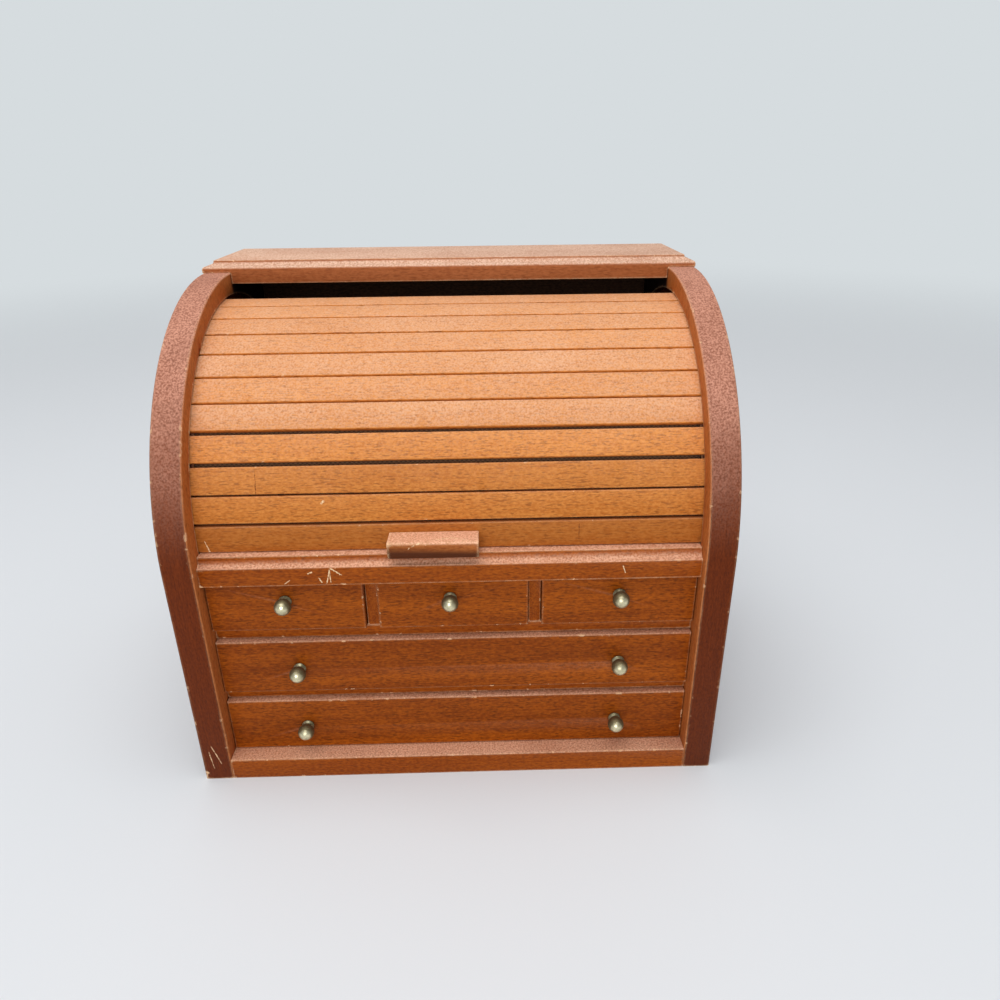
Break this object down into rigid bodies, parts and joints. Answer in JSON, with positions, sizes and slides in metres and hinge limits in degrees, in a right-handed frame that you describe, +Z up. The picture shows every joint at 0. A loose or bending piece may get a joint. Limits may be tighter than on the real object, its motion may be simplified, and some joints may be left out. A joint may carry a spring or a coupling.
{
  "type": "tambour lid box",
  "caption": "Wooden keepsake box shaped like a small roll-top desk: slatted tambour lid over a lined desk shelf, with small and full-width drawers below.",
  "frame": {"origin": "centre of the bounding box in plan, at the underside", "axes": "+X to the right seen from the front, +Y to the back, +Z up"},
  "size_m": [0.223, 0.154, 0.2059],
  "materials": {
    "dark_wood": "aged satin varnish, worn pale on the edges",
    "case_wood": "aged satin varnish, dusty on the flats",
    "slat_wood": "dry satin, fine flecks",
    "raw_wood": "unfinished",
    "brass": "aged and tarnished",
    "felt": "matt",
    "canvas": "matt, unbleached",
    "nail_steel": "dull"
  },
  "bodies": {
    "case": {"left_side": "dark_wood", "right_side": "dark_wood", "top_board": "case_wood", "desk_shelf": "case_wood", "desk_felt": "felt", "inner_back": "case_wood", "back_panel": "raw_wood", "back_nails": "nail_steel", "upper_board": "case_wood", "lower_board": "case_wood", "divider_left": "case_wood", "divider_right": "case_wood", "base_rail": "case_wood", "bottom_board": "raw_wood"},
    "tambour": {"slat_01": "slat_wood", "slat_02": "slat_wood", "slat_03": "slat_wood", "slat_04": "slat_wood", "slat_05": "slat_wood", "slat_06": "slat_wood", "slat_07": "slat_wood", "pull": "slat_wood", "canvas_lead": "canvas"},
    "tail_08": {"slat_08": "slat_wood", "canvas_08": "canvas"},
    "tail_09": {"slat_09": "slat_wood", "canvas_09": "canvas"},
    "tail_10": {"slat_10": "slat_wood", "canvas_10": "canvas"},
    "tail_11": {"slat_11": "slat_wood", "canvas_11": "canvas"},
    "left_drawer": {"left_drawer_front": "case_wood", "left_drawer_sides": "raw_wood", "left_drawer_back": "raw_wood", "left_drawer_bottom": "raw_wood", "left_drawer_knob": "brass"},
    "middle_drawer": {"middle_drawer_front": "case_wood", "middle_drawer_sides": "raw_wood", "middle_drawer_back": "raw_wood", "middle_drawer_bottom": "raw_wood", "middle_drawer_knob": "brass"},
    "right_drawer": {"right_drawer_front": "case_wood", "right_drawer_sides": "raw_wood", "right_drawer_back": "raw_wood", "right_drawer_bottom": "raw_wood", "right_drawer_knob": "brass"},
    "upper_drawer": {"upper_drawer_front": "case_wood", "upper_drawer_sides": "raw_wood", "upper_drawer_back": "raw_wood", "upper_drawer_bottom": "raw_wood", "upper_drawer_knobs": "brass"},
    "lower_drawer": {"lower_drawer_front": "case_wood", "lower_drawer_sides": "raw_wood", "lower_drawer_back": "raw_wood", "lower_drawer_bottom": "raw_wood", "lower_drawer_knobs": "brass"}
  },
  "joints": [
    {"name": "tambour_roll", "type": "hinge", "parent": "case", "child": "tambour", "pos_m": [0, 0.0189, 0.1066], "axis": [-1, 0, 0], "range_deg": [0, 68]},
    {"name": "tail_08_fold", "type": "hinge", "parent": "tambour", "child": "tail_08", "pos_m": [0, -0.02725, 0.17414], "axis": [-1, 0, 0], "range_deg": [0, 27]},
    {"name": "tail_09_fold", "type": "hinge", "parent": "tambour", "child": "tail_09", "pos_m": [0, -0.02437, 0.17502], "axis": [-1, 0, 0], "range_deg": [0, 37]},
    {"name": "tail_10_fold", "type": "hinge", "parent": "tambour", "child": "tail_10", "pos_m": [0, -0.02545, 0.17484], "axis": [-1, 0, 0], "range_deg": [0, 35]},
    {"name": "tail_11_fold", "type": "hinge", "parent": "tambour", "child": "tail_11", "pos_m": [0, -0.03063, 0.17435], "axis": [-1, 0, 0], "range_deg": [0, 30]},
    {"name": "left_drawer_slide", "type": "slide", "parent": "case", "child": "left_drawer", "axis": [0, -1, 0], "range_m": [0, 0.09]},
    {"name": "middle_drawer_slide", "type": "slide", "parent": "case", "child": "middle_drawer", "axis": [0, -1, 0], "range_m": [0, 0.09]},
    {"name": "right_drawer_slide", "type": "slide", "parent": "case", "child": "right_drawer", "axis": [0, -1, 0], "range_m": [0, 0.09]},
    {"name": "upper_drawer_slide", "type": "slide", "parent": "case", "child": "upper_drawer", "axis": [0, -1, 0], "range_m": [0, 0.09]},
    {"name": "lower_drawer_slide", "type": "slide", "parent": "case", "child": "lower_drawer", "axis": [0, -1, 0], "range_m": [0, 0.09]}
  ],
  "couplings": [
    {"joint": "tail_08_fold", "follows": "tambour_roll", "ratio": 0.397},
    {"joint": "tail_09_fold", "follows": "tambour_roll", "ratio": 0.544},
    {"joint": "tail_10_fold", "follows": "tambour_roll", "ratio": 0.5147},
    {"joint": "tail_11_fold", "follows": "tambour_roll", "ratio": 0.4411}
  ]
}
